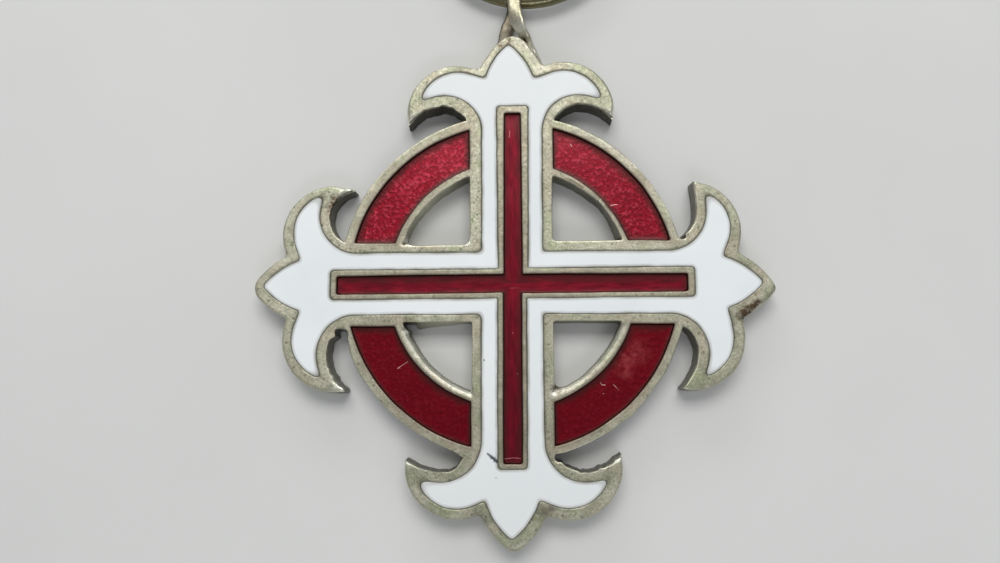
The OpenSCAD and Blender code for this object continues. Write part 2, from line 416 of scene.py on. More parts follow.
def traced(field, spacing=0.14, cell=0.1, least=0.8):
    """Closed lines along the edge of a field, with the inside on their left."""
    axis = np.arange(-REACH, REACH + cell, cell)
    value = field(*np.meshgrid(axis, axis, indexing="ij"))
    inside = value > 0
    code = inside[:-1, :-1] * 1 + inside[1:, :-1] * 2 + inside[1:, 1:] * 4 + inside[:-1, 1:] * 8
    follow, place = {}, {}

    def crossing(i, j, side):
        a, b = {0: ((i, j), (i + 1, j)), 1: ((i + 1, j), (i + 1, j + 1)),
                2: ((i, j + 1), (i + 1, j + 1)), 3: ((i, j), (i, j + 1))}[side]
        if (a, b) not in place:
            t = value[a] / (value[a] - value[b])
            place[a, b] = (axis[a[0]] * (1 - t) + axis[b[0]] * t, axis[a[1]] * (1 - t) + axis[b[1]] * t)
        return a, b

    for i, j in zip(*np.nonzero((code > 0) & (code < 15))):
        c = int(code[i, j])
        for start, end in SADDLES.get(c) or [SEGMENTS[c]]:
            follow[crossing(i, j, start)] = crossing(i, j, end)
    loops = []
    while follow:
        here = next(iter(follow))
        line = []
        while here in follow:
            line.append(place[here])
            here = follow.pop(here)
        ring = np.array(line + line[:1])
        length = np.concatenate([[0], np.cumsum(np.hypot(*np.diff(ring, axis=0).T))])
        if length[-1] < least:
            continue
        count = max(8, int(round(length[-1] / spacing)))
        at = np.arange(count) * length[-1] / count
        even = np.stack([np.interp(at, length, ring[:, k]) for k in (0, 1)], 1)
        loops.append(settle(field, even))
    loops.sort(key=lambda p: -len(p))
    return loops


def lines_inside(field, levels, spacing):
    """Closed lines inside a shape, each at one distance from its edge."""
    return [line for level in levels for line in traced(lambda x, y: field(x, y) - level, spacing)]


def scattered(keep, spacing, seed=1):
    """A loose triangular grid of points where keep is true."""
    rng = np.random.RandomState(seed)
    points = []
    for k, row in enumerate(np.arange(-REACH, REACH, spacing * 0.866)):
        line = np.arange(-REACH, REACH, spacing) + (k % 2) * spacing / 2
        points.append(np.stack([line, np.full_like(line, row)], 1))
    points = np.vstack(points)
    points += rng.uniform(-0.2, 0.2, points.shape) * spacing
    return points[keep(points[:, 0], points[:, 1])]


def filled(borders, guides, loose, inside):
    """Triangles over the region between border lines. Returns the points, the triangles and, for each
    border line, the place of its points."""
    points, edges, spans = [], [], []
    start = 0
    for line in list(borders) + list(guides):
        n = len(line)
        points.append(line)
        edges += [(start + k, start + (k + 1) % n) for k in range(n)]
        spans.append(range(start, start + n))
        start += n
    points = np.vstack(points + [loose]) if len(loose) else np.vstack(points)
    vectors = [Vector(p) for p in points]
    verts, _, faces, origin, _, _ = geometry.delaunay_2d_cdt(vectors, edges, [], 0, SAME_POINT, True)
    verts = np.array([tuple(v) for v in verts])
    found = {source: k for k, sources in enumerate(origin) for source in sources}
    lines = [[found[k] for k in span] for span in spans[:len(borders)]]
    rim = {frozenset(pair) for line in lines for pair in zip(line, line[1:] + line[:1])}
    tris = [tuple(f) for f in faces if len(f) == 3]
    by_edge = {}
    for k, (a, b, c) in enumerate(tris):
        for pair in ((a, b), (b, c), (c, a)):
            by_edge.setdefault(frozenset(pair), []).append(k)
    parent = list(range(len(tris)))

    def root(k):
        while parent[k] != k:
            parent[k] = parent[parent[k]]
            k = parent[k]
        return k

    on_hull = []
    for edge, pair in by_edge.items():
        if edge in rim:
            continue
        if len(pair) == 2:
            parent[root(pair[0])] = root(pair[1])
        else:
            on_hull.append(pair[0])
    # A region between borders is kept when most of its area is inside and it doesn't reach the hull
    corners = verts[np.array(tris)]
    middle = corners.mean(1)
    e1, e2 = corners[:, 1] - corners[:, 0], corners[:, 2] - corners[:, 0]
    area = np.abs(e1[:, 0] * e2[:, 1] - e1[:, 1] * e2[:, 0])
    vote = np.where(inside(middle[:, 0], middle[:, 1]), area, -area)
    vote[on_hull] = -np.inf
    roots = [root(k) for k in range(len(tris))]
    score = dict.fromkeys(roots, 0.0)
    for r, part in zip(roots, vote):
        score[r] += part
    return verts, [f for f, r in zip(tris, roots) if score[r] > 0], lines


def outward(field, line, width=2):
    """Smoothed directions that point out of a shape along its edge."""
    g = -slope(field, line)
    g /= np.maximum(np.hypot(g[:, 0], g[:, 1]), 1e-6)[:, None]
    total = g.copy()
    for k in range(1, width + 1):
        total += np.roll(g, k, 0) + np.roll(g, -k, 0)
    return total / np.maximum(np.hypot(total[:, 0], total[:, 1]), 1e-6)[:, None]


class Shell:
    """Points, faces and wear values of one mesh as it grows."""

    def __init__(self):
        self.points, self.faces, self.values = [], [], []

    def add(self, xyz, values):
        """Adds points and returns their places."""
        start = len(self.points)
        self.points += [tuple(p) for p in xyz]
        self.values += [tuple(v) for v in values]
        return list(range(start, len(self.points)))

    def cover(self, xyz, values, tris):
        """Adds triangles that bring their own points."""
        start = self.add(xyz, values)[0]
        self.faces += [tuple(start + k for k in tri) for tri in tris]

    def band(self, upper, lower):
        """Quads between two rings of points. Their faces look to the right of both, so the solid is on
        the left; where it is on the right, the rings change places."""
        self.faces += zip(upper, lower, lower[1:] + lower[:1], upper[1:] + upper[:1])

    def level(self, flat, height, values):
        """Adds points at one height and returns their places."""
        return self.add(np.c_[flat, np.full(len(flat), height)], values)

    def close(self, rings, height, values, inside, loose=(), down=False):
        """Fills the flat region between rings of points that are there already."""
        flats = [np.array([self.points[k][:2] for k in ring]) for ring in rings]
        verts, tris, lines = filled(flats, [], loose, inside)
        start = self.level(verts, height, [values] * len(verts))[0]
        swap = {}
        for ring, line in zip(rings, lines):
            swap.update(zip(line, ring))
        for tri in tris:
            self.faces.append(tuple(swap.get(k, start + k) for k in (tri[::-1] if down else tri)))


def in_scene(name, data):
    """A new object in the scene."""
    made = bpy.data.objects.new(name, data)
    bpy.context.scene.collection.objects.link(made)
    return made


def as_object(name, shell, material, value_names, crease=38.0):
    """A mesh object in metres, shaded smooth but for its creases."""
    used = sorted({k for f in shell.faces for k in f})
    place = {k: n for n, k in enumerate(used)}
    points = np.array(shell.points)[used] * MM
    mesh = bpy.data.meshes.new(name)
    mesh.from_pydata([tuple(p) for p in points], [], [tuple(place[k] for k in f) for f in shell.faces])
    mesh.validate()
    for column, value_name in enumerate(value_names):
        layer = mesh.attributes.new(value_name, "FLOAT", "POINT")
        layer.data.foreach_set("value", np.array([shell.values[k][column] for k in used], np.float32))
    mesh.materials.append(material)
    mesh.shade_smooth()
    mesh.set_sharp_from_angle(angle=math.radians(crease))
    return in_scene(name, mesh)


# The metalwork

# The wear that each point of the metal carries: distances to the outer edge and to the enamel, dirt with
# painted shade, nearness to the red, and how rubbed it is, painted bright as highlights
METAL_VALUES = ("to_edge", "to_cell", "soot_and_shade", "by_red", "rubbed_and_highlit")
PLAIN_BACK = (1.0, 1.0, 0.3, 0.0, 0.0)
# The cells' floors, and their walls towards them, are painted fully dark, for soot and for the shade in the
# sunk cells
CELL_BED = (1.0, 0.0, 1.0, 0.0, 0.0)
# The lines that the faces of the worn shoulder follow; the dents of the top face and the drift of the
# shoulder's width, in layers
SHOULDER_GUIDES = (0.05, 0.11, 0.18, 0.27)
DENTS = ((0.012, 1.3, 71), (0.006, 0.45, 72))
SHOULDER_DRIFT = ((0.06, 1.9, 61), (0.04, 0.6, 62))
# How near a gap or an opening the shoulder narrows, and how near them a wall belongs to them
SHOULDER_REACH = 0.45
GAP_WALL = 0.4
OPENING_WALL = 0.6

# Where the shoulder is worn wider: place, how much and over what distance
WORN_PLACES = ((19.7, -1.9, 0.30, 1.2), (-8.3, 13.4, 0.26, 0.9), (-13.4, 8.0, 0.30, 1.0),
               (8.35, 13.8, 0.22, 0.7), (8.3, -13.9, 0.20, 0.7), (13.9, 8.2, 0.12, 0.7),
               (-14.2, -7.8, 0.15, 0.8), (-8.3, -14.0, 0.14, 0.6), (2.3, 19.4, 0.14, 1.2),
               (0.3, -20.9, 0.25, 0.9), (7.7, 11.8, 0.12, 2.0))
# Where edges are rubbed bright, with a painted highlight: place, how much and over what distance
BRIGHT_PLACES = ((-8.5, 13.2, 1.0, 0.9), (8.45, 13.8, 0.9, 0.7), (-13.6, 7.9, 1.0, 0.8),
                 (-13.9, -8.2, 0.9, 0.7), (8.4, -13.7, 1.0, 0.7), (-8.5, -14.2, 0.7, 0.6),
                 (13.9, 8.6, 0.6, 0.6), (-8.2, 3.4, 1.0, 0.4), (-3.55, 3.45, 0.7, 0.35),
                 (3.3, -8.86, 1.3, 0.3), (-8.33, -3.85, 1.0, 0.4), (-4.6, -8.2, 0.9, 0.8),
                 (18.2, -8.4, 0.7, 0.5), (7.6, 11.9, 0.3, 1.6), (-19.6, 6.0, 0.3, 2.0),
                 (1.7, 19.9, 0.8, 0.8), (6.0, -13.9, 0.6, 1.2))
# Outer edges with a thin painted highlight line, the same way
EDGE_LINES = ((7.9, -16.6, 1.0, 2.4), (4.2, -18.6, 1.0, 1.6), (1.4, -20.0, 1.0, 1.3),
              (17.9, -6.2, 1.0, 2.2), (17.0, 7.2, 1.0, 1.6), (-17.6, -6.6, 1.0, 1.4),
              (-7.6, 16.6, 1.0, 1.6))
# Dark patches on the face, dirt and painted shade in the bottom arm's notches, at a saw cut's root and in a
# nick by the lower right opening: place, how dark and how wide
GRIME_AND_SHADE_PLACES = ((3.55, -8.42, 1.0, 0.34), (-2.59, -18.41, 0.5, 0.5), (-2.04, -18.71, 0.4, 0.4),
                (2.51, -18.11, 0.6, 0.5), (2.98, -17.88, 0.6, 0.35), (-13.75, -3.75, 0.6, 0.35),
                (18.5, -2.75, 0.35, 0.5))
# Where the walls are painted lighter, as if lit (below nought), or darker, for soot and painted shade: place,
# how much and over what distance
SOOT_AND_SHADE_PLACES = ((-6.9, 6.4, -0.62, 3.0), (-6.0, -3.3, -0.62, 1.7), (-8.7, -3.4, 0.9, 0.7),
               (-4.4, -3.3, -0.3, 1.0), (-8.9, 3.9, 0.3, 0.5), (-8.45, 3.4, -1.2, 0.5), (6.8, 6.6, 0.22, 2.6))
# The burr with a painted highlight down its whole wall: place and size
HIGHLIT_BURR = (-8.45, 3.4, 0.45)
# Steps down the wall: share of the draft, and height as a share of the front edge's
WALL_STEPS = ((0.05, 0.93), (0.25, 0.72), (0.6, 0.40), (0.95, 0.12), (1.0, 0.05), (0.6, 0.0))


def off_arc(x, y, past=0.15):
    """How far a point is from a line just past the openings' round side."""
    return abs(by_quarter(x, y, "opening_r") + past - np.hypot(x, y))


def filed_arc(x, y):
    """Where the lower inner rims were filed to a bevel, from 0 to 1; it stops at the arms."""
    on_rim = 0.55 - off_arc(x, y)
    off_arms = np.minimum(abs(x) - by_quarter(x, y, "x") + 0.15, abs(y) - by_quarter(x, y, "y") - 0.05)
    return (y < 0) * np.clip(np.minimum(on_rim, off_arms) / 0.15, 0, 1)


def shoulder_width(x, y):
    """How far the worn shoulder reaches in from the metal's edge."""
    crisp = 0.5 + 0.5 * np.tanh((gap_depth(x, y) + SHOULDER_REACH) / 0.10)
    width = (0.20 + layered(x, y, SHOULDER_DRIFT)) * (1 - 0.5 * crisp)
    upper = np.where(off_arc(x, y) < 0.5, 0.10, 0.12)
    by_opening = np.where(y > 0, upper, 0.08 + 0.28 * filed_arc(x, y))
    width = np.where(opening_depth(x, y) > -SHOULDER_REACH, by_opening, width)
    return np.maximum(with_bumps(width, x, y, WORN_PLACES), 0.05)


def rim_top(x, y, to_edge, to_cell):
    """Height of the metal's top face."""
    width = shoulder_width(x, y)
    t = np.clip(to_edge / width, 0, 1)
    rolled = 1.25 * (1 - np.sqrt(np.maximum(1 - (1 - t) ** 2, 0)))
    filed = 0.62 * (1 - t) + 0.25 * (1 - t) ** 4
    share = filed_arc(x, y)
    drop = width * (share * filed + (1 - share) * rolled)
    lip = 0.05 * (1 - np.clip(to_cell / 0.09, 0, 1)) ** 2
    return BODY_T - 0.01 - drop - lip + layered(x, y, DENTS)


def rubbed_and_highlit_edges(x, y, to_edge):
    """Edges that handling and the file left shiny, painted bright as highlights: the lower inner rims, some
    points and corners, and thin lines along some outer edges.
    """
    ridges = line_along(to_edge, 0.30, 0.07) + 0.8 * line_along(to_edge, 0.06, 0.06)
    rubbed_and_highlit = filed_arc(x, y) * (0.25 + 0.6 * np.clip(ridges, 0, 1)) * np.clip(1.4 - to_edge / 0.45, 0, 1)
    rubbed_and_highlit *= np.where(x > 0, 0.6, 1.0)
    corners = strongest(x, y, BRIGHT_PLACES) * np.clip(1.3 - to_edge / 0.42, 0, 1)
    broken = np.clip(0.55 + 0.7 * value_noise(x, y, 0.8, 64), 0, 1)
    lines = broken * strongest(x, y, EDGE_LINES) * line_along(to_edge, 0.03, 0.05)
    return np.maximum(np.maximum(rubbed_and_highlit, corners), lines)


def face_grime_and_shade(x, y, to_edge):
    """Dirt on the face, with painted shade in the bottom arm's notches, at a saw cut's root and in a nick,
    and one long file stroke along the upper right inner rim.
    """
    by_rim = np.clip(1.5 - off_arc(x, y, 0.35) / 0.4, 0, 1)
    broken = 0.8 + 0.5 * value_noise(x, y, 0.7, 63)
    stroke = (x > 0) * (y > 0) * by_rim * broken * np.clip(np.minimum(x, y) - 3.8, 0, 1)
    return np.maximum(0.6 * stroke * line_along(to_edge, 0.20, 0.06), strongest(x, y, GRIME_AND_SHADE_PLACES))


def wall_draft(x, y):
    """How far the wall stands out at the back, past the edge at the front."""
    draft = 0.08 + 0.04 * value_noise(x, y, 3.0, 81)
    uneven = 0.02 + 0.05 * value_noise(x, y, 1.3, 83)
    uneven -= 0.06 * bump_at(x, y, -6.5, 6.5, 3.5)
    by_level = (x < -4.0) & (x > -7.9) & (y < 0) & (y > -3.7)
    uneven += np.where(by_level, 0.36 * np.clip((-4.1 - x) / 3.4, 0, 1), 0)
    uneven += 0.22 * bump_at(x, y, 8.7, 3.8, 1.3)
    return np.where(opening_depth(x, y) > -OPENING_WALL, uneven, draft)


def wall_soot_and_shade(x, y):
    """Dirt and painted shade on the walls: most inside the openings and the gaps, little where light reaches
    the wall.
    """
    soot_and_shade = np.where(opening_depth(x, y) > -OPENING_WALL, 0.7, 0.3)
    soot_and_shade = np.where(gap_depth(x, y) > -GAP_WALL, np.where(y > HEAD_Y, 1.0, 0.90), soot_and_shade)
    return np.clip(with_bumps(soot_and_shade, x, y, SOOT_AND_SHADE_PLACES), 0, 1)


def outer_wall(shell, line, flat, top):
    """The wall under one edge of the plate. Returns the ring of points at its foot."""
    x, y = flat[:, 0], flat[:, 1]
    # Soot and painted shade darken the wall; down the bright burr it carries a painted highlight
    out, draft, soot_and_shade = outward(metal_depth, flat), wall_draft(x, y), wall_soot_and_shade(x, y)
    burr_highlight = 1.2 * bump_at(x, y, *HIGHLIT_BURR)
    values = np.stack([0 * soot_and_shade, 0 * soot_and_shade + 1, soot_and_shade, 0 * soot_and_shade, burr_highlight], 1)
    for share, height in WALL_STEPS:
        spot = flat + out * (draft * share)[:, None]
        ripple = 0.02 * value_noise(spot[:, 0] * 2, spot[:, 1] * 2 + 9 * height, 0.5, 91)
        below = shell.add(np.c_[spot + out * ripple[:, None], top * height], values)
        shell.band(line, below)
        line = below
    return line


def metal_plate(material):
    """The plate: its top face, the walls, the plain back and the sunk cells."""
    edge, cells = traced(metal_depth), traced(cells_depth)
    guides = lines_inside(face_depth, SHOULDER_GUIDES, spacing=0.16)
    loose = scattered(lambda x, y: face_depth(x, y) > 0.36, spacing=0.26)
    verts, tris, lines = filled(edge + cells, guides, loose, lambda x, y: face_depth(x, y) > 0)
    x, y = verts[:, 0], verts[:, 1]
    to_edge, to_cell = np.maximum(metal_depth(x, y), 0), np.maximum(-cells_depth(x, y), 0)
    to_red = np.maximum(-np.maximum(red_cross_depth(x, y), arc_depth(x, y)), 0)
    wear = (to_edge, to_cell, face_grime_and_shade(x, y, to_edge), np.exp(-to_red / 0.45), rubbed_and_highlit_edges(x, y, to_edge))
    z = rim_top(x, y, to_edge, to_cell)
    shell = Shell()
    shell.cover(np.c_[verts, z], np.stack(wear, 1), tris)
    feet = [outer_wall(shell, line, verts[line], z[line]) for line in lines[:len(edge)]]
    loose = scattered(lambda x, y: metal_depth(x, y) > 0.5, spacing=0.9)
    shell.close(feet, 0.0, PLAIN_BACK, lambda x, y: metal_depth(x, y) + 0.05 > 0, loose, down=True)
    # The metal is on the right of a cell's line
    beds = []
    for line in lines[len(edge):]:
        flat = verts[line]
        values = np.tile(CELL_BED, (len(line), 1))
        values[:, METAL_VALUES.index("by_red")] = white_depth(flat[:, 0], flat[:, 1]) < -0.05
        beds.append(shell.level(flat, CELL_FLOOR, values))
        shell.band(beds[-1], line)
    shell.close(beds, CELL_FLOOR, CELL_BED, lambda x, y: cells_depth(x, y) > 0)
    return as_object("metal_plate", shell, material, METAL_VALUES)


# The enamel

# What each point of the enamel carries: its distance to the edge, the rim's shadow on it, and whether it
# is in the upright bars
ENAMEL_VALUES = ("to_edge", "shade", "upright")
# How wide the rolled edge is and how far it rises on the red, the lines that its faces follow, and the
# waves of the surface in layers
LIP_W = 0.4
RED_LIP = 0.03
ENAMEL_GUIDES = (0.05, 0.12, 0.24, 0.4)
GLAZE_WAVES = ((1.0, 2.1, 31), (0.4, 0.8, 32))


def arc_shade(x, y, away):
    """How much of a shadow the rim throws on a sunk field: most under its upper sides."""
    return np.clip(1.3 * away[:, 1], 0, 1)


def bar_shade(x, y, away):
    """The same for the narrow cross, where the upright bar's end is as bright as its sides."""
    sides = np.where(away[:, 0] > 0, 0.42, 0.34) * abs(away[:, 0])
    return np.clip(sides + np.where(abs(x) > abs(y), away[:, 1], 0.3 * abs(away[:, 1])), 0, 1)


def enamel_piece(name, cell, material, top, lip, waves, shade_by=arc_shade):
    """Fired enamel that fills a sunk field, with a rolled edge and a faintly uneven surface."""

    def area(x, y):
        return cell(x, y) - GAP

    def inside(x, y):
        return area(x, y) > 0

    guides = lines_inside(area, ENAMEL_GUIDES, spacing=0.18)
    loose = scattered(lambda x, y: area(x, y) > 0.5, spacing=0.3)
    verts, tris, lines = filled(traced(area), guides, loose, inside)
    x, y = verts[:, 0], verts[:, 1]
    depth = np.maximum(area(x, y), 0)
    near = (1 - np.clip(depth / LIP_W, 0, 1)) ** 2
    corner = 0.05 * (1 - np.clip(depth / 0.05, 0, 1))
    uneven = waves * layered(x, y, GLAZE_WAVES)
    values = np.stack([depth, shade_by(x, y, -slope(area, verts)), (abs(x) < abs(y)) * 1.0], 1)
    shell = Shell()
    shell.cover(np.c_[verts, top + lip * near - corner + uneven], values, tris)
    feet = []
    for line in lines:
        feet.append(shell.level(verts[line], ENAMEL_FLOOR, np.zeros((len(line), 3))))
        shell.band(line, feet[-1])
    shell.close(feet, ENAMEL_FLOOR, (0.0, 0.0, 0.0), inside, down=True)
    return as_object(name, shell, material, ENAMEL_VALUES)


# Nodes

class Nodes:
    """Short ways to add nodes to one tree."""

    def __init__(self, tree):
        self.tree = tree

    def feed(self, socket, value):
        """Links a socket to another one, or sets its value."""
        if isinstance(value, bpy.types.NodeSocket):
            self.tree.links.new(value, socket)
        else:
            socket.default_value = (*value, 1.0) if socket.type == "RGBA" else value

    def add(self, kind, inputs=None, **settings):
        node = self.tree.nodes.new(kind)
        for key, value in settings.items():
            setattr(node, key, value)
        for key, value in (inputs or {}).items():
            self.feed(node.inputs[key], value)
        return node

    def math(self, operation, *values, clamp=False):
        node = self.add("ShaderNodeMath", dict(enumerate(values)), operation=operation, use_clamp=clamp)
        return node.outputs[0]

    def times(self, a, b, clamp=False):
        return self.math("MULTIPLY", a, b, clamp=clamp)

    def vector(self, operation, *values):
        return self.add("ShaderNodeVectorMath", dict(enumerate(values)), operation=operation).outputs

    def ramp(self, source, low, high, to_low=0.0, to_high=1.0):
        return self.add("ShaderNodeMapRange", {"Value": source, "From Min": low, "From Max": high,
                                               "To Min": to_low, "To Max": to_high}).outputs["Result"]


def node_group(name, inputs, outputs, kind="ShaderNodeTree"):
    """A new node group: its nodes, the sockets that feed it and the sockets of its result."""
    tree = bpy.data.node_groups.new(name, kind)
    for label, type_name, value in inputs:
        socket = tree.interface.new_socket(label, in_out="INPUT", socket_type="NodeSocket" + type_name)
        if value is not None:
            socket.default_value = value
    for label, type_name in outputs:
        tree.interface.new_socket(label, in_out="OUTPUT", socket_type="NodeSocket" + type_name)
    nodes = Nodes(tree)
    return nodes, nodes.add("NodeGroupInput").outputs, nodes.add("NodeGroupOutput").inputs


# The eye and the ribbon ring

STRAP_W = 1.14
STRAP_T = 0.42
# How square its section is, across and through it: a power of 1 is an oval
STRAP_SQUARE_W = 0.42
STRAP_SQUARE_T = 0.62
STRAP_SIDES = 24
STRAP_STEPS = 8
# Middle line of the strap from its foot on the spear's flank, over the loop and down behind; the columns
# are x, y, z, the turn of its width from across to upright, how dark it is, for dirt and for painted shade
# on its underside and back leg, and how rubbed it is, painted bright as highlights
STRAP_PATH = (
    (2.30, 18.69, 1.22, 74, 0.0, 0.35), (1.94, 19.42, 1.42, 70, 0.0, 0.40),
    (1.57, 20.15, 1.60, 68, 0.0, 0.30), (1.21, 20.85, 1.80, 60, 0.25, 0.05),
    (0.87, 21.50, 2.02, 46, 0.0, 0.55), (0.52, 22.30, 2.18, 20, 0.15, 0.10),
    (0.36, 23.30, 2.22, 2, 0.1, 0.0), (0.34, 24.28, 2.22, 0, 0.1, 0.0),
    (0.34, 24.75, 2.09, 0, 0.2, 0.0), (0.34, 25.09, 1.75, 0, 0.4, 0.0),
    (0.34, 25.22, 1.28, 0, 0.6, 0.0), (0.34, 25.09, 0.81, 0, 0.7, 0.0),
    (0.34, 24.75, 0.47, 0, 0.7, 0.0), (0.34, 24.28, 0.34, 0, 0.7, 0.0),
    (0.18, 23.40, 0.34, 0, 0.70, 0.0), (-0.10, 22.50, 0.38, 0, 0.72, 0.0),
    (-0.40, 21.60, 0.46, 0, 0.76, 0.0), (-0.58, 20.60, 0.72, 0, 0.85, 0.0),
)
# The ribbon ring: where its wire passes through the eye, its outer radius and how it leans
RING_FOOT = (1.3, 24.20, 1.185)
RIBBON_RING_R = 8.6
WIRE_D = 1.15
RING_TILT = 2.18
WIRE_UNEVENNESS = 0.06


def smooth_path(stations, steps):
    """Points on a smooth curve through the stations."""
    stations = np.array(stations, float)
    ends = np.vstack([stations[:1], stations, stations[-1:]])
    line = []
    for k in range(len(stations) - 1):
        a, b, c, d = ends[k:k + 4]
        for t in np.arange(steps) / steps:
            line.append(0.5 * (2 * b + (c - a) * t + (2 * a - 5 * b + 4 * c - d) * t ** 2
                               + (3 * b - a - 3 * c + d) * t ** 3))
    line.append(stations[-1])
    return np.array(line)


def strap_eye(material):
    """A strip of flattened wire, bent over and soldered at both feet."""
    line = smooth_path(STRAP_PATH, STRAP_STEPS)
    ways = np.gradient(line[:, :3], axis=0)
    ways /= np.linalg.norm(ways, axis=1)[:, None]
    shell = Shell()
    rings = []
    for k, (station, way) in enumerate(zip(line, ways)):
        spot, turn, dirt_and_shade, rubbed_and_highlit = station[:3], math.radians(station[3]), station[4], station[5]
        wide = np.array([math.cos(turn), 0, math.sin(turn)])
        across = wide - way * wide.dot(way)
        across /= np.linalg.norm(across)
        thick = np.cross(way, across)
        half_w = STRAP_W / 2 * (1 + 0.05 * math.sin(k * 0.37) + 0.02 * math.sin(k * 0.83 + 1))
        half_t = STRAP_T / 2 * (1 + 0.08 * math.sin(k * 0.53 + 2))
        ring = []
        for n in range(STRAP_SIDES):
            c, s = math.cos(2 * math.pi * n / STRAP_SIDES), math.sin(2 * math.pi * n / STRAP_SIDES)
            px = math.copysign(abs(c) ** STRAP_SQUARE_W, c) * half_w
            py = math.copysign(abs(s) ** STRAP_SQUARE_T, s) * half_t
            ring.append(spot + across * px + thick * py)
        rings.append(shell.add(ring, [(0.1, 1.0, dirt_and_shade, 0.12, rubbed_and_highlit)] * STRAP_SIDES))
    for near, far in zip(rings, rings[1:]):
        shell.band(far, near)
    for ring in (rings[0][::-1], rings[-1]):
        centre, = shell.add([np.mean([shell.points[k] for k in ring], 0)], [(0.1, 1.0, 0.0, 0.0, 0.0)])
        shell.faces += [(centre, a, b) for a, b in zip(ring, ring[1:] + ring[:1])]
    return as_object("strap_eye", shell, material, METAL_VALUES, crease=60)


def ribbon_ring(material):
    """Round wire bent to a ring, with the slight flats that a hand bend leaves."""
    nodes, given, result = node_group(
        "round_wire_ring",
        (("Bend Radius", "Float", 0.008), ("Wire Radius", "Float", 0.0006), ("Unevenness", "Float", 0.00004),
         ("Finish", "Material", None)),
        (("Geometry", "Geometry"),), "GeometryNodeTree")
    circle = "GeometryNodeCurvePrimitiveCircle"
    path = nodes.add(circle, {"Resolution": 220, "Radius": given["Bend Radius"]})
    section = nodes.add(circle, {"Resolution": 28, "Radius": given["Wire Radius"]})
    sweep = nodes.add("GeometryNodeCurveToMesh",
                      {"Curve": path.outputs[0], "Profile Curve": section.outputs[0]})
    uneven = nodes.add("ShaderNodeTexNoise", {"Scale": 320.0, "Detail": 2.0})
    centred = nodes.vector("SUBTRACT", uneven.outputs["Color"], (0.5, 0.5, 0.5))[0]
    scaled = nodes.add("ShaderNodeVectorMath", {0: centred, "Scale": given["Unevenness"]}, operation="SCALE")
    moved = nodes.add("GeometryNodeSetPosition", {"Geometry": sweep.outputs[0], "Offset": scaled.outputs[0]})
    smooth = nodes.add("GeometryNodeSetShadeSmooth", {"Geometry": moved.outputs[0]})
    real = nodes.add("GeometryNodeRealizeInstances", {"Geometry": smooth.outputs[0]})
    coat = nodes.add("GeometryNodeSetMaterial", {"Geometry": real.outputs[0], "Material": given["Finish"]})
    nodes.feed(result["Geometry"], coat.outputs[0])
    bend_r = (RIBBON_RING_R - WIRE_D / 2) * MM
    values = {"Bend Radius": bend_r, "Wire Radius": WIRE_D / 2 * MM, "Unevenness": WIRE_UNEVENNESS * MM,
              "Finish": material}
    turn = (Matrix.Translation(Vector(RING_FOOT) * MM)
            @ Matrix.Rotation(math.radians(-RING_TILT), 4, "X") @ Matrix.Translation((0, bend_r, 0)))
    return from_tree("ribbon_ring_wire", nodes.tree, values, turn)


def from_tree(name, tree, values, place):
    """The plain mesh that a Geometry Nodes tree makes, put in its place."""
    maker = in_scene(name + "_start", bpy.data.meshes.new(name + "_start"))
    modifier = maker.modifiers.new("maker", "NODES")
    modifier.node_group = tree
    for item in tree.interface.items_tree:
        if item.item_type == "SOCKET" and item.in_out == "INPUT":
            modifier[item.identifier] = values[item.name]
    mesh = bpy.data.meshes.new_from_object(maker.evaluated_get(bpy.context.evaluated_depsgraph_get()))
    mesh.transform(place)
    mesh.name = name
    bpy.data.objects.remove(maker)
    return in_scene(name, mesh)


# Materials

def surface_grain():
    """Fine grain with shallow pits: a height for bump and a mask of the pits."""
    nodes, given, result = node_group(
        "surface_grain",
        (("Where", "Vector", None), ("Grain Scale", "Float", 6000.0), ("Pit Scale", "Float", 2500.0),
         ("Pit Depth", "Float", 0.4)),
        (("Height", "Float"), ("Pits", "Float")))
    fine = nodes.add("ShaderNodeTexNoise", {"Vector": given["Where"], "Scale": given["Grain Scale"],
                                            "Detail": 3.0, "Roughness": 0.6})
    cells = nodes.add("ShaderNodeTexVoronoi", {"Vector": given["Where"], "Scale": given["Pit Scale"]})
    pits = nodes.ramp(cells.outputs["Distance"], 0.05, 0.22, 1.0, 0.0)
    dug = nodes.times(pits, given["Pit Depth"])
    nodes.feed(result["Height"], nodes.math("SUBTRACT", fine.outputs["Fac"], dug))
    nodes.feed(result["Pits"], pits)
    return nodes.tree


def edge_marks():
    """Masks along an edge: a thin line at the edge, used for grime, and a wider band, used for wear, grime,
    painted shade and painted highlights.
    """
    nodes, given, result = node_group(
        "edge_marks",
        (("Where", "Vector", None), ("Distance", "Float", 1.0), ("Line Width", "Float", 0.05),
         ("Band Width", "Float", 0.25), ("Breakup Scale", "Float", 900.0), ("Unevenness", "Float", 0.45)),
        (("Line", "Float"), ("Band", "Float")))
    broken = nodes.add("ShaderNodeTexNoise", {"Vector": given["Where"], "Scale": given["Breakup Scale"],
                                              "Detail": 2.0})
    spread = nodes.ramp(broken.outputs["Fac"], 0.25, 0.75, -1.0, 1.0)
    vary = nodes.math("ADD", nodes.times(spread, given["Unevenness"]), 1.0)
    for label in ("Line", "Band"):
        reach = nodes.times(given[label + " Width"], vary)
        share = nodes.math("DIVIDE", given["Distance"], reach)
        nodes.feed(result[label], nodes.math("SUBTRACT", 1.0, share, clamp=True))
    return nodes.tree


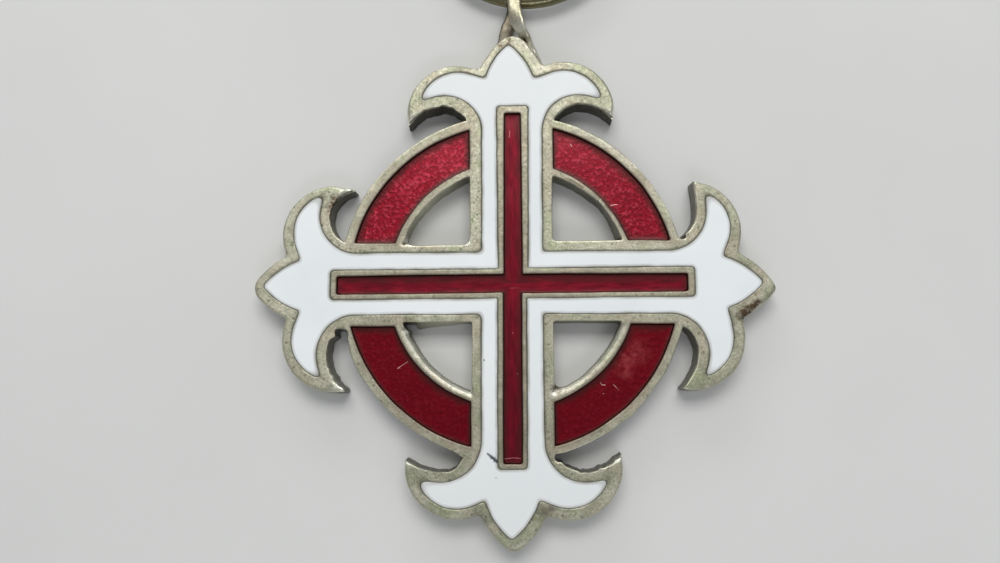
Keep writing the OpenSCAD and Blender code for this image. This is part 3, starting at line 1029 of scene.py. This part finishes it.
def scratch_mark():
    """A mask along a short scratch between two points, broken by noise."""
    nodes, given, result = node_group(
        "scratch_mark",
        (("Where", "Vector", None), ("Start", "Vector", None), ("End", "Vector", None),
         ("Width", "Float", 0.0001)),
        (("Mask", "Float"),))
    run = nodes.vector("SUBTRACT", given["End"], given["Start"])["Vector"]
    reach = nodes.vector("SUBTRACT", given["Where"], given["Start"])["Vector"]
    along = nodes.vector("DOT_PRODUCT", run, reach)["Value"]
    square = nodes.vector("DOT_PRODUCT", run, run)["Value"]
    share = nodes.math("DIVIDE", along, square, clamp=True)
    nearest = nodes.vector("MULTIPLY_ADD", run, share, given["Start"])["Vector"]
    away = nodes.vector("DISTANCE", given["Where"], nearest)["Value"]
    broken = nodes.add("ShaderNodeTexNoise", {"Vector": given["Where"], "Scale": 9000.0, "Detail": 1.0})
    vary = nodes.ramp(broken.outputs["Fac"], 0.3, 0.6, 0.5, 1.3)
    off_middle = nodes.math("ABSOLUTE", nodes.math("SUBTRACT", share, 0.45))
    swell = nodes.math("SUBTRACT", 1.15, off_middle)
    width = nodes.times(given["Width"], nodes.times(vary, swell))
    far = nodes.math("DIVIDE", away, width)
    nodes.feed(result["Mask"], nodes.math("SUBTRACT", 1.3, far, clamp=True))
    return nodes.tree


GRAIN, MARKS, SCRATCH = surface_grain(), edge_marks(), scratch_mark()


class Paint(Nodes):
    """A material whose colour is laid on in layers."""

    def __init__(self, name, colour):
        self.material = bpy.data.materials.new(name)
        self.material.use_nodes = True
        super().__init__(self.material.node_tree)
        self.tree.nodes.clear()
        self.shader = self.add("ShaderNodeBsdfPrincipled")
        self.add("ShaderNodeOutputMaterial", {"Surface": self.shader.outputs[0]})
        self.where = self.add("ShaderNodeTexCoord").outputs["Object"]
        self.colour = colour

    def layer(self, factor, colour):
        """Lays a colour over what is there, as far as the factor goes."""
        node = self.add("ShaderNodeMix", {"Factor": factor}, data_type="RGBA")
        under, over = (s for s in node.inputs if s.type == "RGBA")
        self.feed(under, self.colour)
        self.feed(over, colour)
        self.colour = next(s for s in node.outputs if s.type == "RGBA")

    def patches(self, source, low, high, most, colour):
        """Lays a colour where a value goes from low to high."""
        self.layer(self.ramp(source, low, high, 0.0, most), colour)

    def attribute(self, name):
        return self.add("ShaderNodeAttribute", attribute_name=name, attribute_type="GEOMETRY").outputs["Fac"]

    def along(self, axis):
        return self.add("ShaderNodeSeparateXYZ", {0: self.where}).outputs[axis]

    def noise(self, scale, detail=2.0, rough=0.5, where=None):
        node = self.add("ShaderNodeTexNoise", {"Vector": where or self.where, "Scale": scale,
                                               "Detail": detail, "Roughness": rough})
        return node.outputs["Fac"]

    def effect(self, kind, inputs):
        """The outputs of one of the shared node groups."""
        return self.add("ShaderNodeGroup", {"Where": self.where, **inputs}, node_tree=kind).outputs

    def combined(self, operation, masks):
        total = masks[0]
        for mask in masks[1:]:
            total = self.math(operation, total, mask)
        return total

    def spots(self, places):
        """The sum of soft round masks; each place is x, y, z and a reach, in mm."""
        masks = []
        for x, y, z, reach in places:
            away = self.vector("DISTANCE", self.where, (x * MM, y * MM, z * MM))["Value"]
            masks.append(self.ramp(away, 0.0, reach * MM, 1.0, 0.0))
        return self.combined("ADD", masks)

    def scratches(self, lines, height):
        """One mask for several scratches; each is two points, a width in mm and a strength."""
        masks = []
        for ax, ay, bx, by, width, strength in lines:
            ends = {"Start": (ax * MM, ay * MM, height * MM), "End": (bx * MM, by * MM, height * MM)}
            mark = self.effect(SCRATCH, {**ends, "Width": width * MM})
            masks.append(self.times(mark["Mask"], strength))
        return self.combined("MAXIMUM", masks)

    def finished(self, height, strength, distance, settings):
        """The material, with its bump and its other values."""
        bump = self.add("ShaderNodeBump", {"Strength": strength, "Distance": distance, "Height": height})
        for key, value in {"Base Color": self.colour, "Normal": bump.outputs[0], **settings}.items():
            self.feed(self.shader.inputs[key], value)
        return self.material


def toned(colour, gain):
    return tuple(min(1, gain * c) for c in colour)


# Brown tarnish, with painted shade where the strap's front foot meets the spear and at the top left corner of
# the lower left opening: place in mm and how far it reaches
BROWN_TARNISH_AND_SHADE_PLACES = ((18.45, -2.72, 2.1, 0.75), (18.8, -2.42, 2.1, 0.65), (19.15, -2.12, 2.1, 0.55),
                (19.5, -1.82, 2.1, 0.45), (19.8, -1.6, 2.1, 0.40), (-14.40, 7.0, 2.1, 0.60),
                (-14.65, 6.4, 2.1, 0.65), (-14.75, 5.8, 2.1, 0.50), (-8.3, -3.35, 1.9, 0.8),
                (-0.2, 20.35, 2.1, 0.6), (-0.85, 20.0, 2.1, 0.4), (1.0, 23.8, 2.2, 0.9),
                (-14.3, 5.0, 1.9, 0.5), (1.13, 20.5, 1.9, 0.4))
BROWN = (0.105, 0.068, 0.040)
# Paler metal: place in mm and how far it reaches
PALE_PLACES = ((-17.5, 0.0, 2.1, 9.0), (9.0, 3.9, 2.1, 6.5), (11.5, -3.8, 2.1, 5.0))
WARM = (0.46, 0.37, 0.27)
BESIDE_RED = (0.34, 0.285, 0.225)
RED_STAIN = (0.11, 0.042, 0.032)
BARE_METAL_HIGHLIGHT = (0.86, 0.85, 0.78)
SOOT_AND_SHADE = (0.040, 0.032, 0.022)
RED_SOOT_AND_SHADE = (0.10, 0.034, 0.026)


def tarnished_metal(name, pale, olive, dirt_and_shade, rough_range):
    """White metal gone greenish gold, mottled, with grime and painted shade along the enamel, walls darkened
    for soot and painted shade, and rubbed edges painted bright as highlights.
    """
    look = Paint(name, pale)
    to_edge, to_cell, soot_and_shade, by_red, rubbed_and_highlit = (look.attribute(value) for value in METAL_VALUES)
    mottle, small, warm = look.noise(760, 4, 0.62), look.noise(3300, 3, 0.7), look.noise(430)
    grain = look.effect(GRAIN, {"Grain Scale": 6500.0, "Pit Scale": 1500.0, "Pit Depth": 0.35})
    green = tuple(c * gain for c, gain in zip(olive, (1.14, 1.28, 1.05)))
    look.patches(mottle, 0.38, 0.62, 1.0, olive)
    look.patches(look.noise(210), 0.46, 0.68, 0.55, olive)
    look.patches(warm, 0.50, 0.70, 0.5, WARM)
    look.patches(warm, 0.47, 0.33, 0.62, green)
    look.patches(small, 0.54, 0.74, 0.5, toned(olive, 0.55))
    look.patches(small, 0.46, 0.26, 0.35, toned(pale, 1.25))
    look.layer(look.times(look.spots(PALE_PLACES), 0.42, clamp=True), toned(pale, 1.2))
    look.patches(grain["Height"], 0.50, 0.25, 0.66, toned(olive, 0.5))
    look.patches(grain["Height"], 0.52, 0.72, 0.45, toned(pale, 1.4))
    look.layer(look.times(grain["Pits"], 0.35), dirt_and_shade)

    look.layer(look.times(by_red, look.ramp(mottle, 0.3, 0.6, 0.35, 0.75)), BESIDE_RED)
    # Grime along the enamel, with painted shade darkening the rim towards it
    grime_and_shade = look.effect(MARKS, {"Distance": to_cell, "Line Width": 0.07, "Band Width": 0.25,
                                "Breakup Scale": 1800.0})
    look.layer(look.times(grime_and_shade["Band"], look.ramp(look.noise(520), 0.36, 0.62, 0.25, 0.75)), dirt_and_shade)
    look.layer(look.times(grime_and_shade["Line"], 0.15), toned(dirt_and_shade, 0.6))
    look.patches(by_red, 0.84, 0.99, 0.9, RED_STAIN)
    # Worn outer edges, painted lighter as a highlight
    edge_wear_and_highlight = look.effect(MARKS, {"Distance": to_edge, "Line Width": 0.06, "Band Width": 0.18,
                               "Breakup Scale": 1100.0})
    look.layer(look.times(edge_wear_and_highlight["Band"], 0.45), toned(pale, 1.45))

    # Rubbed edges and file strokes, painted bright as highlights
    strokes = look.math("SINE", look.math("MULTIPLY_ADD", to_edge, 36.0, look.times(small, 9.0)))
    bright = look.times(rubbed_and_highlit, look.ramp(small, 0.60, 0.45, 0.75, 1.0), clamp=True)
    bright = look.times(bright, look.ramp(strokes, -1.0, 1.0, 0.45, 1.05))
    look.layer(look.times(bright, 0.95), BARE_METAL_HIGHLIGHT)
    # Brown tarnish, with painted shade in a few places
    torn = look.ramp(small, 0.38, 0.58, 0.3, 1.4)
    look.layer(look.times(look.spots(BROWN_TARNISH_AND_SHADE_PLACES), torn, clamp=True), BROWN)
    # Soot and painted shade, redder beside the red
    look.layer(look.times(soot_and_shade, look.ramp(mottle, 0.3, 0.7, 1.0, 0.8)), SOOT_AND_SHADE)
    look.layer(look.times(soot_and_shade, by_red), RED_SOOT_AND_SHADE)

    rough = look.math("SUBTRACT", look.ramp(small, 0.3, 0.7, *rough_range), look.times(edge_wear_and_highlight["Band"], 0.10))
    rough = look.math("SUBTRACT", rough, look.times(bright, 0.16))
    calm = look.math("SUBTRACT", 1.0, rubbed_and_highlit, clamp=True)
    height = look.times(look.math("ADD", grain["Height"], look.times(small, 1.2)), calm)
    height = look.math("ADD", height, look.times(strokes, look.times(rubbed_and_highlit, 0.45)))
    return look.finished(height, 0.28, 0.00004, {"Metallic": 0.8, "Roughness": rough})


# Scratches and chips in the enamel: two points in mm, the width in mm and how strong
WHITE_GASH = ((-1.97, -13.61, -1.22, -14.16, 0.11, 1.0), (-1.80, -13.76, -1.25, -14.20, 0.14, 1.0),
              (-1.55, -13.94, -1.22, -14.24, 0.18, 1.0), (-2.26, -6.18, -2.22, -6.26, 0.06, 0.9))
WHITE_CHIPS = ((-1.34, -15.46, -1.28, -15.49, 0.08, 0.8), (2.6, 17.1, 2.7, 17.02, 0.04, 0.4))
UPPER_MARKS = ((8.05, 6.36, 8.66, 6.46, 0.03, 0.9), (4.90, 11.60, 5.02, 11.32, 0.025, 0.8),
               (8.35, 6.44, 8.70, 6.45, 0.03, 0.7))
LOWER_MARKS = ((7.03, -8.03, 7.15, -8.22, 0.022, 0.7), (7.15, -8.22, 7.43, -8.23, 0.030, 0.8),
               (8.06, -8.17, 8.53, -8.67, 0.020, 0.7), (-9.23, -6.86, -8.40, -6.30, 0.018, 0.6),
               (-9.23, -6.86, -9.06, -6.74, 0.030, 1.0), (7.24, -8.90, 7.28, -8.92, 0.035, 0.5))
CROSS_MARKS = ((-0.66, -14.02, 0.10, -13.94, 0.030, 0.45), (0.10, -13.94, 0.66, -14.00, 0.030, 0.40),
               (-0.10, 12.72, -0.16, 12.15, 0.035, 0.50), (0.05, -4.03, 0.10, -4.05, 0.045, 0.35),
               (0.40, -7.32, 0.43, -7.34, 0.045, 0.35), (-0.31, -0.40, 0.62, -0.38, 0.025, 0.10))


WHITE, COOL_WHITE, OUTER_WHITE = (0.86, 0.885, 0.90), (0.80, 0.835, 0.855), (0.762, 0.787, 0.797)
GREY_RIM, GREY_LINE = (0.225, 0.215, 0.165), (0.15, 0.15, 0.13)
GASH_COLOUR, CHIP_COLOUR = (0.045, 0.055, 0.060), (0.42, 0.42, 0.38)


def white_glaze():
    """Opaque white enamel, glossy, with a gash, a few chips and a grey line where it meets the metal."""
    look = Paint("white_enamel_glaze", WHITE)
    grain = look.effect(GRAIN, {"Grain Scale": 2600.0, "Pit Scale": 160.0, "Pit Depth": 0.0})
    edge = look.effect(MARKS, {"Distance": look.attribute("to_edge"), "Line Width": 0.05, "Band Width": 0.26,
                               "Breakup Scale": 700.0, "Unevenness": 0.12})
    look.patches(look.noise(160, 3), 0.35, 0.7, 1.0, COOL_WHITE)
    look.patches(look.math("ABSOLUTE", look.along("Y")), 0.004, 0.018, 0.85, OUTER_WHITE)
    uneven = look.ramp(look.noise(480), 0.36, 0.62, 0.42, 0.92)
    look.layer(look.times(edge["Band"], uneven), GREY_RIM)
    look.layer(look.times(edge["Line"], 0.15), GREY_LINE)
    look.layer(look.scratches(WHITE_GASH, WHITE_TOP), GASH_COLOUR)
    look.layer(look.scratches(WHITE_CHIPS, WHITE_TOP), CHIP_COLOUR)
    return look.finished(grain["Height"], 0.05, 0.00003, {
        "Roughness": 0.40, "Specular IOR Level": 0.35, "Coat Weight": 0.22, "Coat Roughness": 0.16})


# The reds: the ground's painted glints, the painted sheen at the top, the faint clouds, the rim's painted
# shadow and its dark line, and bare ground in a scratch; then the last three of the narrow cross
GLINT, PAINTED_SHEEN, HAZE = (0.66, 0.075, 0.12), (0.46, 0.055, 0.085), (0.42, 0.075, 0.08)
RIM_SHADOW, RIM_LINE, BARED = (0.060, 0.013, 0.012), (0.05, 0.016, 0.012), (1.0, 0.62, 0.58)
CROSS_SHADOW, CROSS_LINE, CROSS_BARED = (0.050, 0.014, 0.012), (0.03, 0.015, 0.012), (0.95, 0.40, 0.42)
# Faint clouds under the red: place in mm and how far they reach
HAZE_PLACES = ((8.8, -6.35, 1.9, 1.5), (9.15, -7.1, 1.9, 0.8), (10.0, -5.6, 1.9, 1.4))
# How the fields of the ring differ, the upper ones painted as lit and the lower ones as in shade: how much
# the ground glints, the painted sheen at the top, the darker right side, the reach of the rim's painted
# shadow where it is least and most, the coat and the depth of the grit
UPPER_LIT_LOOK = {"glint": 0.40, "painted_sheen": 0.15, "right": 0.26, "reach": (0.52, 0.80), "coat": 0.22, "grit": 0.45}
LOWER_SHADED_LOOK = {"glint": 0.06, "painted_sheen": 0.0, "right": 0.0, "reach": (0.36, 0.74), "coat": 0.10, "grit": 0.2}


def red_glaze(name, bright, deep, field, marks):
    """Transparent red enamel: a smooth glaze over a stippled metal ground, whose glints through it are
    painted, with a painted sheen towards the top and the rim's painted shadow.
    """
    look = Paint(name, deep)
    stipple, patch = look.noise(3500), look.noise(5200, 3, 0.7)
    look.patches(patch, 0.32, 0.60, 1.0, bright)
    look.patches(look.noise(520, 3, 0.55), 0.42, 0.66, 0.4, deep)
    # Painted glints of the ground, then a painted sheen of reflected light towards the top
    look.patches(stipple, 0.50, 0.70, field["glint"], GLINT)
    look.patches(look.along("Y"), 0.0085, 0.0135, field["painted_sheen"], PAINTED_SHEEN)
    look.patches(look.along("X"), 0.0, 0.006, field["right"], deep)
    torn = look.ramp(look.noise(1500, 3, 0.6), 0.40, 0.70, 0.05, 0.55)
    look.layer(look.times(look.spots(HAZE_PLACES), torn, clamp=True), HAZE)
    reach = look.ramp(look.attribute("shade"), 0.0, 1.0, *field["reach"])
    edge = look.effect(MARKS, {"Distance": look.attribute("to_edge"), "Band Width": reach, "Line Width": 0.07,
                               "Breakup Scale": 900.0, "Unevenness": 0.3})
    look.patches(edge["Band"], 0.05, 0.75, 0.84, RIM_SHADOW)
    look.layer(look.times(edge["Line"], 0.25), RIM_LINE)
    scratched = look.scratches(marks, RED_TOP)
    look.layer(scratched, BARED)
    height = look.math("ADD", stipple, look.times(patch, 0.4))
    return look.finished(height, field["grit"], 0.00012, {
        "Metallic": look.math("MULTIPLY_ADD", scratched, -0.85, 0.85), "Roughness": 0.46,
        "Specular IOR Level": 0.2, "Coat Weight": field["coat"], "Coat Roughness": 0.25})


def streaked_red(name, bright, deep, marks):
    """The red of the narrow cross: smooth, with streaks that run along each bar."""
    look = Paint(name, deep)
    streaks = []
    for scale in ((520.0, 2600.0, 1.0), (2600.0, 520.0, 1.0)):
        stretch = look.add("ShaderNodeMapping", {"Vector": look.where, "Scale": scale})
        streaks.append(look.noise(1.0, 3, 0.6, stretch.outputs[0]))
    level, upright = streaks
    pick = look.add("ShaderNodeMix", {"Factor": look.attribute("upright"), "A": level, "B": upright},
                    data_type="FLOAT")
    streak = pick.outputs[0]
    look.patches(streak, 0.36, 0.66, 1.0, bright)
    look.patches(look.noise(330, 3, 0.55), 0.40, 0.68, 0.4, deep)
    # Painted shade: darker towards the bottom
    look.patches(look.along("Y"), -0.002, -0.015, 0.45, deep)
    reach = look.ramp(look.attribute("shade"), 0.2, 1.0, 0.34, 1.15)
    edge = look.effect(MARKS, {"Distance": look.attribute("to_edge"), "Band Width": reach, "Line Width": 0.07,
                               "Breakup Scale": 500.0})
    look.patches(edge["Band"], 0.0, 0.95, 0.72, CROSS_SHADOW)
    look.layer(look.times(edge["Line"], 0.3), CROSS_LINE)
    scratched = look.scratches(marks, RED_TOP)
    look.layer(scratched, CROSS_BARED)
    return look.finished(streak, 0.25, 0.00008, {
        "Metallic": look.math("MULTIPLY_ADD", scratched, -0.8, 0.8), "Roughness": 0.48,
        "Specular IOR Level": 0.2, "Coat Weight": 0.16, "Coat Roughness": 0.22})


def pale_table():
    look = Paint("pale_table", (0.66, 0.66, 0.65))
    look.patches(look.noise(30, 3), 0.3, 0.7, 1.0, (0.70, 0.70, 0.69))
    look.feed(look.shader.inputs["Base Color"], look.colour)
    look.feed(look.shader.inputs["Roughness"], 0.8)
    return look.material


# The pieces

def belongs(piece, node):
    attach(piece, BODY)
    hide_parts(node)


plate_metal = tarnished_metal("tarnished_white_metal", (0.50, 0.485, 0.385), (0.30, 0.30, 0.215),
                              (0.13, 0.125, 0.095), (0.42, 0.58))
strap_metal = tarnished_metal("tarnished_strap", (0.58, 0.545, 0.42), (0.22, 0.20, 0.13),
                              (0.10, 0.085, 0.06), (0.36, 0.50))
wire_metal = tarnished_metal("aged_brass_wire", (0.20, 0.185, 0.10), (0.11, 0.105, 0.055),
                             (0.05, 0.045, 0.03), (0.20, 0.28))
# One red for the ring's fields, painted lit in the upper two and in shade in the lower two
upper_red_painted_lit = red_glaze("ring_red_upper", (0.258, 0.0026, 0.015), (0.125, 0.0015, 0.0075), UPPER_LIT_LOOK,
                      UPPER_MARKS)
lower_red_painted_shade = red_glaze("ring_red_lower", (0.165, 0.0012, 0.009), (0.110, 0.0008, 0.005), LOWER_SHADED_LOOK,
                      LOWER_MARKS)
cross_red = streaked_red("cross_red_glaze", (0.218, 0.005, 0.019), (0.105, 0.002, 0.009), CROSS_MARKS)

belongs(metal_plate(plate_metal), "metal_frame")
belongs(strap_eye(strap_metal), "metal_frame")
belongs(ribbon_ring(wire_metal), "ribbon_ring")
belongs(enamel_piece("white_field", white_depth, white_glaze(), WHITE_TOP, lip=0.0, waves=0.008),
        "white_enamel")
belongs(enamel_piece("red_cross_inlay", red_cross_depth, cross_red, RED_TOP, RED_LIP, waves=0.012,
                     shade_by=bar_shade),
        "red_cross_enamel")
for (sx, sy), name in QUARTER_NAMES.items():
    ring_red = upper_red_painted_lit if sy > 0 else lower_red_painted_shade
    belongs(enamel_piece("ring_field_" + name, ring_field(sx, sy), ring_red, RED_TOP, RED_LIP, waves=0.015),
            "red_arc_" + name)


# The stage

TABLE_HALF = 2.0
TABLE_Z = -0.00002
CAMERA_AIM = Vector((-0.000950, 0.000113, 0.0022))
CAMERA_AZIMUTH, CAMERA_ELEVATION, CAMERA_ROLL = 8.0775, 82.8110, -8.3467
CAMERA_DISTANCE = 0.073576
CAMERA_LENS = 32.757


def stage():
    """A plain pale table top."""
    mesh = bpy.data.meshes.new("table_top")
    corners = [(x * TABLE_HALF, y * TABLE_HALF, TABLE_Z) for x, y in ((-1, -1), (1, -1), (1, 1), (-1, 1))]
    mesh.from_pydata(corners, [], [(0, 1, 2, 3)])
    mesh.materials.append(pale_table())
    in_scene("table_top", mesh)


def softbox(name, place, size, power, colour):
    """A rectangular light that looks at the middle of the medal."""
    data = bpy.data.lights.new(name, "AREA")
    data.shape = "RECTANGLE"
    data.size, data.size_y = size
    data.energy = power
    data.color = colour
    lamp = in_scene(name, data)
    lamp.location = place
    lamp.rotation_mode = "QUATERNION"
    lamp.rotation_quaternion = (-Vector(place)).to_track_quat("-Z", "Y")


def lighting():
    world = bpy.data.worlds.new("studio")
    world.use_nodes = True
    back = world.node_tree.nodes["Background"]
    back.inputs["Color"].default_value = (0.90, 0.93, 0.95, 1)
    back.inputs["Strength"].default_value = 0.39
    bpy.context.scene.world = world
    softbox("key", (0.0, 0.27, 0.43), (0.38, 0.22), 1.39, (1.0, 0.99, 0.96))
    softbox("window", (-0.10, 0.47, 0.17), (0.40, 0.11), 0.60, (0.96, 0.98, 1.0))
    softbox("fill", (0.05, -0.30, 0.35), (0.24, 0.14), 0.25, (0.95, 0.97, 1.0))


def camera():
    """The photo's camera: nearly straight above, turned a little."""
    az, el, roll = (math.radians(a) for a in (CAMERA_AZIMUTH, CAMERA_ELEVATION, CAMERA_ROLL))
    back = Vector((math.cos(el) * math.sin(az), -math.cos(el) * math.cos(az), math.sin(el)))
    level = (-back).cross(Vector((0, 0, 1))).normalized()
    raised = level.cross(-back)
    across = math.cos(roll) * level + math.sin(roll) * raised
    up = -math.sin(roll) * level + math.cos(roll) * raised
    data = bpy.data.cameras.new("camera")
    data.sensor_width = 36
    data.lens = CAMERA_LENS
    data.clip_start, data.clip_end = 0.002, 10
    place = Matrix((across, up, back)).transposed().to_4x4()
    place.translation = CAMERA_AIM + back * CAMERA_DISTANCE
    eye = in_scene("camera", data)
    eye.matrix_world = place
    bpy.context.scene.camera = eye


stage()
lighting()
camera()
bpy.context.scene.view_settings.view_transform = "Standard"
